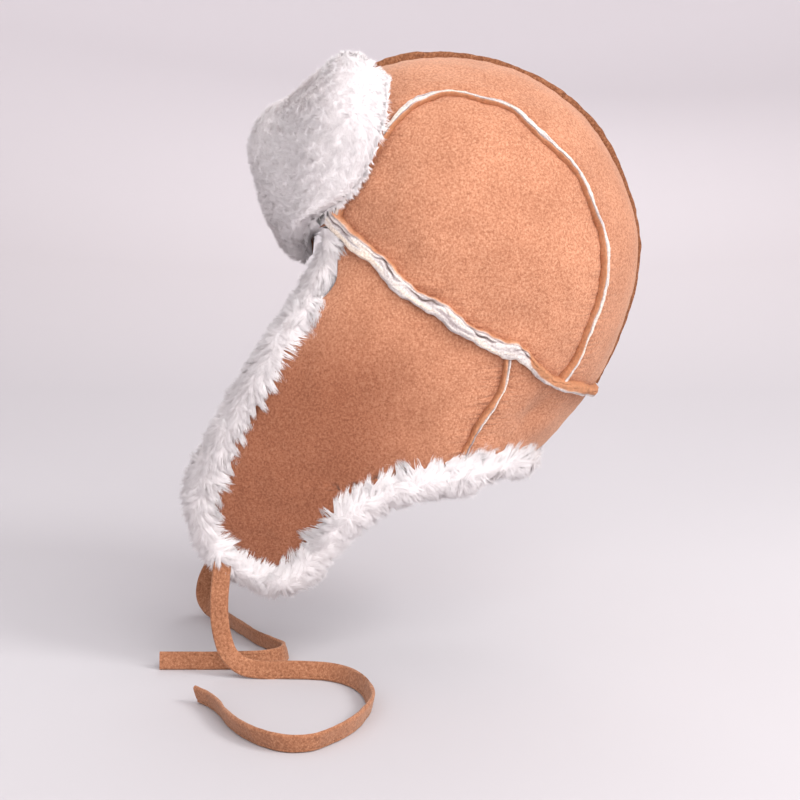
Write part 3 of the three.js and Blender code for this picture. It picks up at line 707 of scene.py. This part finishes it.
def rim_faces(quads, rows, cols):
    """Squares round a grid's border, from its leather face to its wool face."""
    total = rows * cols
    ring = np.concatenate([np.arange(cols - 1), np.arange(rows - 1) * cols + cols - 1,
                           total - 1 - np.arange(cols - 1), (np.arange(rows - 1, 0, -1)) * cols])
    after = np.roll(ring, -1)
    rim = np.stack([ring, after, after + total, ring + total], -1)
    first = ring[0], ring[1]
    same_way = (quads[:, :2] == first).all(1).any() or (quads[:, [3, 0]] == first).all(1).any()
    return rim[:, ::-1] if same_way else rim


def shell(name, points, normals, tones, has_rim):
    """A hide: its leather face, its wool face a wall's thickness inside, and the rim between them."""
    outer = points + normals * hide_lift(points)[..., None]
    lumps = 0.0011 * noise(points, 0.012, 11) + 0.0006 * noise(points, 0.005, 12)
    inner = points - normals * (WALL - lumps)[..., None]
    rows, cols = points.shape[:2]
    total = rows * cols
    middle = rows // 2, cols // 2
    quads = grid_faces(rows, cols)
    if np.sum(grid_normals(outer)[middle] * normals[middle]) < 0:
        quads = quads[:, ::-1]
    faces = [quads, quads[:, ::-1] + total]
    if has_rim:
        faces.append(rim_faces(quads, rows, cols))
    kinds = np.concatenate([np.zeros(len(quads)), np.ones(sum(len(group) for group in faces[1:]))])
    soup = Soup().add(np.concatenate([outer.reshape(-1, 3), inner.reshape(-1, 3)]), faces, kind=kinds,
                      tones=np.concatenate([tones.ravel(), np.full(total, LINING_PAINTED_SHADE_TONE)]),
                      marks=np.concatenate([seam_nearness(points), np.zeros(total)]))
    LINING[name] = inner, -normals
    return soup.build(name, [SUEDE, WOOL])


def side_hide(part, label, side):
    mirror = MIRROR if side < 0 else 1
    places = panel_places(part)
    points = skin(places) * mirror
    return shell(f"{part}_{label}_hide", points, normal_at(places) * mirror, flap_painted_shade(points), True)


def neck_hide():
    half = panel_places("neck_panel")
    points, normals = skin(half), normal_at(half)
    points = np.concatenate([points, (points * MIRROR)[-2::-1]])
    normals = np.concatenate([normals, (normals * MIRROR)[-2::-1]])
    return shell("neck_panel_hide", points, normals, np.ones(points.shape[:2]), False)


for part in ("crown_side", "crown_top", "ear_flap"):
    for label, side in SIDES:
        place_piece(side_hide(part, label, side), "suede", f"{part}_{label}")
place_piece(neck_hide(), "suede", "neck_panel")


# Raised seams
def welt(name, way, rows, width, height, wander, look, seed):
    """A raised seam: two cut edges side by side with a crevice between them, standing proud of the hide.

    Look gives, per row and place across: leather share, crevice depth (also painted shade) and width."""
    point, normal, side = way
    count = len(point)
    across = np.linspace(-1, 1, 27)[None]
    run = rows[:, None]
    length = np.concatenate([[0], np.cumsum(np.linalg.norm(np.diff(point, axis=0), axis=1))])[:, None]
    leather, groove, wide, walls = look(run, across)
    uneven = 1 + 0.09 * np.sin(run * 2.9) + 0.07 * np.sin(run * 6.1 + 1) + 0.05 * np.sin(run * 13 + seed)
    half = width / 2 * uneven * wide
    shift = wander * np.sin(run * 1.9 + 2)
    rounded = np.sqrt(np.maximum(1 - np.abs(across) ** 5, 0))
    up = height * (0.25 + 0.75 * rounded) * (1 - 0.45 * groove)
    shape = (point[:, None] + side[:, None] * (half * across * (0.92 + 0.08 * rounded) + shift)[..., None]
             + normal[:, None] * up[..., None])
    rough = (0.00045 * noise(shape, 0.0035, seed) + 0.0005 * noise(shape, 0.009, seed + 1)
             + 0.00022 * noise(shape, 0.0015, seed + 2))
    fibre_place = np.stack(np.broadcast_arrays(length * 0.1, across * width / 2, float(seed)), -1)
    fibre = 0.5 * noise(fibre_place, 0.0009, seed + 3) + 0.5 * noise(fibre_place, 0.0019, seed + 4)
    shape = shape + normal[:, None] * (rough + 0.00035 * fibre)[..., None]
    foot = side[:, None] * (half * np.array((1, -1)) + shift)[..., None]
    root = point[:, None] - normal[:, None] * WALL * 0.5 + foot
    rings = np.concatenate([shape, root], 1)
    mark = np.concatenate([np.broadcast_to(leather, shape.shape[:2]), np.broadcast_to(walls, (count, 2))], 1)
    # Tone: fibre streaks at random; darker in crevice and grooves and at the foot, as painted shade.
    tone = np.clip(0.68 + 0.7 * fibre - 0.62 * groove, 0, 1)
    tone = np.concatenate([np.broadcast_to(tone, shape.shape[:2]), np.full((count, 2), 0.4)], 1)
    soup = tube(Soup(), rings, tones=tone.ravel(), marks=mark.ravel())
    return soup.build(name, [CUT_EDGE])


def soft_step(values, at, blur):
    return 1 / (1 + np.exp(-(values - at) / blur))


def base_way():
    rows = np.linspace(0.02, base.end - 0.02, 310)
    return round_back(*stations(base.chart, rows)), np.concatenate([rows, rows[::-1]])


def base_look(rows, across):
    """A thin leather line along the upper edge, which widens into a strip behind the ear seam."""
    behind = soft_step(rows, EAR_ON_BASE + 0.9, 0.12)
    leather = 1 - soft_step(across, -0.8 + 1.15 * behind + 0.05 * np.sin(rows * 9), 0.05)
    middle = -0.34 + 0.16 * np.sin(rows * 5.3) + 0.1 * np.sin(rows * 11.7) - 0.1 * behind
    deep = 0.5 + 0.35 * np.sin(rows * 3.1 + 1)
    groove = np.clip(deep, 0.1, 1) * np.exp(-((across - middle) / 0.13) ** 2) * (1 - 0.7 * behind)
    groove = groove + 0.45 * np.exp(-((across + 0.66) / 0.06) ** 2) * (1 - behind)
    knot = np.exp(-((rows - EAR_ON_BASE - 0.1) / 0.28) ** 2)
    knot = knot + 0.35 * np.exp(-((rows - CROWN_ON_BASE) / 0.2) ** 2)
    return leather, groove, 1.06 - 0.34 * behind + 0.28 * knot, np.array([[0.0, 1.0]])


way, rows = base_way()
place_piece(welt("base_welt_edge", way, rows, BASE_WELT_WIDTH, BASE_WELT_HEIGHT * 0.85, wander=0.0008,
                 look=base_look, seed=21), "cut_edge", "base_welt")


def crown_look(rows, across):
    leather = soft_step(across, 0.52 + 0.2 * np.sin(rows * 1.7), 0.06)
    groove = 0.9 * np.exp(-((across - 0.4 - 0.16 * np.sin(rows * 1.7)) / 0.12) ** 2)
    groove = groove + 0.6 * np.exp(-((across - 0.98) / 0.1) ** 2)
    groove = groove + 0.35 * np.exp(-((across + 0.45 + 0.1 * np.sin(rows * 4.3)) / 0.1) ** 2)
    return leather, groove, 1 + 0.2 * np.sin(rows * 1.3 + 2), np.array([[1.0, 0.0]])


def ear_look(rows, across):
    leather = soft_step(across, 0.0, 0.08) + 0 * rows
    groove = 0.7 * np.exp(-((across + 0.15) / 0.14) ** 2) + 0 * rows
    return leather, groove, 1 + 0.1 * np.sin(rows * 3), np.array([[1.0, 0.0]])


for label, side in SIDES:
    rows = np.linspace(0.02, BASE_ON_CROWN + 0.15, 400)
    way = on_side(stations(crown.chart, rows), side)
    place_piece(welt(f"crown_welt_{label}_edge", way, rows, CROWN_WELT_WIDTH, CROWN_WELT_HEIGHT * 0.72,
                     wander=0.0008, look=crown_look, seed=31), "cut_edge", f"crown_welt_{label}")
    rows = np.linspace(0.02, ear.end - 0.02, 150)
    way = on_side(stations(ear.chart, rows), side)
    place_piece(welt(f"ear_welt_{label}_edge", way, rows, CROWN_WELT_WIDTH * 0.85, CROWN_WELT_HEIGHT * 0.6,
                     wander=0.0004, look=ear_look, seed=41), "cut_edge", f"ear_welt_{label}")


def ridge():
    bearings = np.linspace(BROW_BEARING, BACK_BEARING - 1, 420)
    point, normal, side = stations(centre_plane, bearings)
    across = np.linspace(-1, 1, 13)
    rounded = np.sqrt(np.maximum(1 - np.abs(across) ** 4, 0))
    up = RIDGE_HEIGHT * (0.2 + 0.8 * rounded)[None] * (1 - 0.25 * np.exp(-(across / 0.2) ** 2))[None]
    sway = 0.0005 * np.sin(bearings / 7)[:, None]
    shape = (point[:, None] + side[:, None] * (RIDGE_WIDTH / 2 * across[None] + sway)[..., None]
             + normal[:, None] * up[..., None])
    rough = 0.0004 * noise(shape, 0.006, 51) + 0.0002 * noise(shape, 0.002, 52)
    shape = shape + normal[:, None] * rough[..., None]
    foot = side[:, None] * (RIDGE_WIDTH / 2 * np.array((1, -1)))[None, :, None]
    root = point[:, None] - normal[:, None] * WALL / 2 + foot
    return tube(Soup(), np.concatenate([shape, root], 1)).build("crown_ridge_edge", [SHADED_SUEDE])


# The ridge uses the darker suede copy: painted shade.
place_piece(ridge(), "dark_suede", "crown_ridge")


# Wool edges
def fur_band(name, way, wide, count, seed):
    """The band: an oval over the hide's edge, smooth along its free side and ragged over the leather."""
    rng = np.random.default_rng(seed)
    point, normal, side = way
    angle = np.linspace(0, 2 * math.pi, 33)[None, :, None]
    centre = (point - normal * WALL / 2)[:, None]
    reach = (side[:, None] * np.cos(angle) * (FUR_WIDTH / 2 * wide)[:, None, None]
             + normal[:, None] * np.sin(angle) * FUR_DEPTH / 2) * 0.87
    out = unit(side[:, None] * np.cos(angle) * FUR_DEPTH + normal[:, None] * np.sin(angle) * FUR_WIDTH)
    rings = centre + reach
    lumps = 0.0013 * noise(rings, 0.016, seed) + 0.0007 * noise(rings, 0.007, seed + 1)
    rings = rings + out * lumps[..., None]
    bumpy = grid_normals(np.concatenate([rings[:, -2:-1], rings, rings[:, 1:2]], 1))[:, 1:-1]
    bumpy = unit(out + np.where(np.sum(bumpy * out, -1, keepdims=True) < 0, -bumpy, bumpy))
    # The core under the strands gets a darker wool tone: painted shade among the strands.
    soup = tube(Soup(), rings[:, :-1], tones=0.75, normals=bumpy[:, :-1])
    over_leather = np.clip(-np.cos(angle) * 1.6 + 0.1, -1, 1) * (np.sin(angle) > -0.3)
    ahead = np.gradient(point, axis=0)
    flow = side[:, None] * -over_leather + unit(ahead)[:, None] * 0.35
    flow = np.broadcast_to(flow, rings.shape)
    over = np.broadcast_to(over_leather, rings.shape)
    roots, normals, flow, over = scatter(rng, rings, bumpy, count, flow, over)
    over = np.clip(over[:, 0], 0, 1)
    strands(soup, rng, roots, normals, length=0.0066 + 0.0032 * over, width=0.00054, tuft=40, rise=0.42,
            pull=0.22 + 0.4 * over, swirl=0.014, seed=seed, dome=0.36 + 0.4 * over, flow=flow)
    return soup.build(name, [WOOL], own_normals=True)


# The side in the photograph has more strands.
BAND_STRANDS = {"left": 57000, "right": 40000, "neck": 22000}

# The band starts a little above its line's first row, where the flap's foot and the base seam's end are.
BAND_LINE = Seam({name: np.concatenate([[start], FUR_LINE[name]])
                  for name, start in (("fore", 0.662), ("up", 0.235), ("wide", 0.86))})

for label, side in SIDES:
    rows = np.linspace(0.2, EAR_ON_FUR + 1.2, 268)
    way = on_side(stations(BAND_LINE.chart, rows), side)
    count = BAND_STRANDS[label]
    place_piece(fur_band(f"fur_edge_{label}_wool", way, BAND_LINE.wide(rows), count, 61 + side), "wool",
                f"fur_edge_{label}")
rows = np.linspace(EAR_ON_FUR - 0.3, edge.end - 0.02, 60)
way = round_back(*stations(edge.chart, rows))
wide = edge.wide(rows)
wide = np.concatenate([wide, wide[::-1]])
place_piece(fur_band("fur_edge_neck_wool", way, wide, BAND_STRANDS["neck"], 71), "wool", "fur_edge_neck")


# Front flap
def rim_at(share):
    brow, end = polar(BROW_BEARING, 1.0), base.place(0)
    return brow + (end - brow) * share[..., None]


def flap_face(across, up):
    """A point of the front flap's leather face."""
    seat = 0.0005

    def reach(kind):
        """The table's reach to the side, forward and up, forward being -Y."""
        side, fore, up = (read_rows(FRONT_FLAP["across"], FRONT_FLAP[kind + way], np.abs(across)) * FLAP_HEIGHT
                          for way in ("Side", "Fore", "Up"))
        return np.stack([side, -fore, up], -1)

    mid, tip = reach("mid"), reach("tip")
    rim = rim_at(np.abs(across))
    foot = skin(rim) - normal_at(rim) * seat
    point = foot + mid * (4 * up * (1 - up))[..., None] + tip * (up * (2 * up - 1))[..., None]
    return point * np.where(across[..., None] < 0, MIRROR, 1)


def rounded_off(share):
    """1 over most of the way from 0 to 1, and 0 at both ends."""
    return np.sqrt(np.maximum(1 - np.abs(2 * share - 1) ** 5, 0))


def front_flap():
    rng = np.random.default_rng(81)
    across_count, up_count, foot = 121, 61, -0.1
    across, up = np.meshgrid(np.linspace(-1, 1, across_count), np.linspace(foot, 1, up_count),
                             indexing="ij")
    corner = np.clip(up, 0, 1) ** 5
    face = flap_face(across * (1 - 0.09 * corner), up * (1 - 0.13 * np.abs(across) ** 7 * corner))
    normal = grid_normals(face)
    if normal[across_count // 2, up_count // 2, 1] > 0:
        normal = -normal
    puff = 0.24 + 0.64 * rounded_off((up - foot) / (1 - foot)) * rounded_off((across + 1) / 2)
    lobe = 0.22 * np.exp(-((np.abs(across) - 0.72) / 0.22) ** 2 - ((up - 0.06) / 0.16) ** 2)
    outer = face + normal * (FLAP_DEPTH * (puff + lobe))[..., None]
    swell = 0.0028 * noise(outer, 0.038, 82) + 0.0008 * noise(outer, 0.017, 83)
    swell = swell + 0.0003 * noise(outer, 0.006, 84)
    outer = outer + normal * swell[..., None]
    bumpy = grid_normals(outer)
    bumpy = np.where(np.sum(bumpy * normal, -1, keepdims=True) < 0, -bumpy, bumpy)
    rings = np.concatenate([outer, face[:, ::-1]], 1)
    soup = Soup()
    rows, cols = rings.shape[:2]
    kinds = np.zeros((rows - 1, cols))
    kinds[:, up_count:-1] = 1
    # The core under the strands gets a darker wool tone: painted shade among the strands.
    tube(soup, rings, kind=np.concatenate([kinds.ravel(), [0, 0]]), tones=0.85)
    roots, normals = scatter(rng, outer, bumpy, 45000)
    strands(soup, rng, roots, normals, length=0.0050, width=0.00046, tuft=24, rise=0.34, pull=0.2, swirl=0.05,
            seed=85, dome=0.24)
    border = np.concatenate([outer[:, -1], outer[-1, ::-1], outer[::-1, 0], outer[0]])
    inside = face.reshape(-1, 3).mean(0)
    pick = rng.integers(0, len(border) - 1, 8000)
    share = rng.random((8000, 1))
    edge_roots = border[pick] * (1 - share) + border[pick + 1] * share
    edge_out = unit(edge_roots - inside)
    strands(soup, rng, edge_roots, edge_out, length=0.0048, width=0.00046, tuft=16, rise=1.0, pull=0.3,
            swirl=0.02, seed=88, dome=0.2)
    return soup.build("front_flap_wool", [WOOL, SUEDE], own_normals=True)


place_piece(front_flap(), "wool", "front_flap")


# Ties
STITCH_PLACE = 0.62


def tie_frames(route, step):
    """Points along a tie at even steps, with the ways along, across and out of the strap."""
    line = Line(route, "x y z lean")
    places = np.linspace(0, line.end, 4000)
    xyz = Line(route, "x y z").read(places)
    run = np.concatenate([[0], np.cumsum(np.linalg.norm(np.diff(xyz, axis=0), axis=1))])
    at = np.linspace(0, run[-1], int(run[-1] / step) + 1)
    points = np.stack([np.interp(at, run, xyz[:, k]) for k in range(3)], -1)
    lean = np.interp(at, run, read_rows(np.arange(line.end + 1.0), route["lean"], places))
    along = unit(np.gradient(points, axis=0))
    face, outs = np.array((1.0, 0.0, 0.0)), []
    for way in along:
        face = unit(face - way * (face @ way))
        outs.append(face)
    outs = np.array(outs)
    turn = (lean * DEGREE)[:, None]
    out = outs * np.cos(turn) + np.cross(along, outs) * np.sin(turn)
    return points, along, np.cross(along, out), out, run[-1]


def strap(name, route, stitch_side):
    points, along, wide, out, length = tie_frames(route, 0.0015)
    half, thick = TIE_WIDTH / 2, TIE_THICKNESS / 2
    across = np.concatenate([np.linspace(-1, 1, 15), np.linspace(1, -1, 15)])
    front = np.concatenate([np.ones(15), -np.ones(15)])
    rounded = np.sqrt(np.maximum(1 - np.abs(across) ** 8, 0)) * 0.85 + 0.15
    groove = 1 - 0.35 * np.exp(-((across - stitch_side * STITCH_PLACE) / 0.09) ** 2)
    bulge = 1 + 0.12 * np.exp(-((across - stitch_side * 0.85) / 0.15) ** 2)
    depth = thick * rounded * groove * bulge * front
    rings = (points[:, None] + wide[:, None] * (half * across)[None, :, None]
             + out[:, None] * depth[None, :, None])
    soft = 0.00018 * noise(rings, 0.004, 91) + 0.00030 * noise(rings, 0.014, 92)
    rings = rings + out[:, None] * (soft * front[None])[..., None]
    piece = tube(Soup(), rings).build(name, [TIE_SUEDE])
    return piece, (points, along, wide, out), length


def stitches(name, frames, stitch_side):
    """Thread sunk in the groove along one edge, on both faces of the strap."""
    points, along, wide, out = frames
    soup = Soup()
    pitch, half_long, radius, height = 3, 0.0011, 0.00022, 0.00098
    angle = np.linspace(0, 2 * math.pi, 6, endpoint=False)
    swell = np.array((0.3, 1, 1, 0.3))[:, None, None]
    for index in range(4, len(points) - 3, pitch):
        for face in (1, -1):
            centre = points[index] + wide[index] * stitch_side * STITCH_PLACE * TIE_WIDTH / 2
            centre = centre + out[index] * face * height
            run = np.linspace(-half_long, half_long, 4)[:, None, None]
            ring = wide[index] * np.cos(angle)[:, None] + out[index] * np.sin(angle)[:, None]
            ring = ring[None] * radius * swell
            tube(soup, centre + along[index] * run + ring)
    return soup.build(name, [THREAD])


for name, stitch_side in (("tie_left", 1), ("tie_right", -1)):
    piece, frames, length = strap(f"{name}_strap", TIE_ROUTES[name], stitch_side)
    seam = stitches(f"{name}_stitches", frames, stitch_side)
    place_piece(piece, "tie_suede", name)
    place_piece(seam, "tie_suede")


# Wool lining
def lining(name, sources, count, seed):
    rng = np.random.default_rng(seed)
    soup = Soup()
    sizes = [np.linalg.norm(np.cross(*np.gradient(LINING[source][0], axis=(0, 1))), axis=-1).sum()
             for source in sources]
    for source, size in zip(sources, sizes):
        points, normals = LINING[source]
        share = int(count * size / sum(sizes))
        roots, ways = scatter(rng, points, normals, share)
        strands(soup, rng, roots - ways * 0.0005, ways, length=0.0085, width=0.0014, tuft=14, rise=0.6,
                pull=0.4, swirl=0.015, seed=seed)
    return soup.build(name, [WOOL], own_normals=True)


for label, seed in (("left", 101), ("right", 102)):
    place_piece(lining(f"lining_{label}", [f"ear_flap_{label}_hide"], 11500, seed), "wool")
place_piece(lining("lining_crown", [f"{part}_{label}_hide" for part in ("crown_side", "crown_top")
                                    for label in ("left", "right")], 12000, 103), "wool")
place_piece(lining("lining_neck", ["neck_panel_hide"], 4000, 104), "wool")


# Stage, light and camera
# Backdrop colours from round the hat (0) to the far wall (1): painted shade, a painted shadow band, painted
# light.
STAGE_PAINTED_SHADE = [(0.0, (0.53, 0.505, 0.52)), (0.15, (0.57, 0.545, 0.56)), (0.35, (0.53, 0.50, 0.516)),
                (0.5, (0.59, 0.545, 0.56)), (0.7, (0.81, 0.755, 0.78)), (1.0, (0.95, 0.90, 0.92))]


def backdrop():
    """A pale floor that sweeps up all round into a wall, with painted shade round the hat and lighter up the
    wall.
    """
    flat, bend, height = 0.9, 2.6, 3.2
    profile = [(0.0, 0.0), (flat / 2, 0.0)]
    profile += [(flat + bend * math.sin(turn), bend * (1 - math.cos(turn)))
                for turn in np.linspace(0, math.pi / 2, 16)]
    profile.append((flat + bend, height))
    turns = np.linspace(0, 2 * math.pi, 96, endpoint=False)
    rings = np.array([[(r * math.cos(t), r * math.sin(t), FLOOR_Z + z) for t in turns] for r, z in profile])
    soup = Soup().add(rings, [grid_faces(len(profile), len(turns), around=True)])
    material, graph, shader = new_material("paper")
    coords = graph.nodes.new("ShaderNodeTexCoord")
    parts = graph.nodes.new("ShaderNodeSeparateXYZ")
    reach = graph.nodes.new("ShaderNodeMapRange")
    settings(reach, {"From Min": 0.4, "From Max": -3.6})
    graph.links.new(coords.outputs["Object"], parts.inputs["Vector"])
    graph.links.new(parts.outputs["X"], reach.inputs["Value"])
    shades = ramp(graph, reach.outputs["Result"], STAGE_PAINTED_SHADE)
    graph.links.new(shades, shader.inputs["Base Color"])
    settings(shader, {"Roughness": 0.9, "Specular IOR Level": 0.1})
    return soup.build("backdrop", [material])


backdrop()


def area_light(name, place, target, size, watts):
    light = bpy.data.lights.new(name, "AREA")
    light.shape = "DISK"
    light.size = size
    light.energy = watts
    lamp = bpy.data.objects.new(name, light)
    bpy.context.scene.collection.objects.link(lamp)
    lamp.location = place
    way = np.array(target) - np.array(place)
    lamp.rotation_euler = Vector(way).to_track_quat("-Z", "Y").to_euler()
    return lamp


HAT_MIDDLE = (0, -0.03, -0.15)
for name, place, size, watts in (("key", (1.0, 1.6, 1.2), 0.9, 33), ("overhead", (1.5, 0.5, 0.75), 1.3, 22),
                                 ("fill", (1.7, -0.9, 0.4), 1.4, 9), ("back", (-1.5, 0.2, 1.0), 1.4, 12)):
    area_light(name, place, HAT_MIDDLE, size, watts)
world = bpy.data.worlds.new("studio")
world.use_nodes = True
settings(world.node_tree.nodes["Background"], {"Color": (0.95, 0.93, 0.96, 1), "Strength": 0.85})
bpy.context.scene.world = world
bpy.context.scene.view_settings.view_transform = "Standard"

camera_data = bpy.data.cameras.new("camera")
camera_data.lens = 78.57
camera_data.sensor_width = 36
camera = bpy.data.objects.new("camera", camera_data)
bpy.context.scene.collection.objects.link(camera)
camera.location = (1.08646, -0.03465, -0.03312)
camera.rotation_euler = (math.radians(81), 0, math.radians(90))
bpy.context.scene.camera = camera
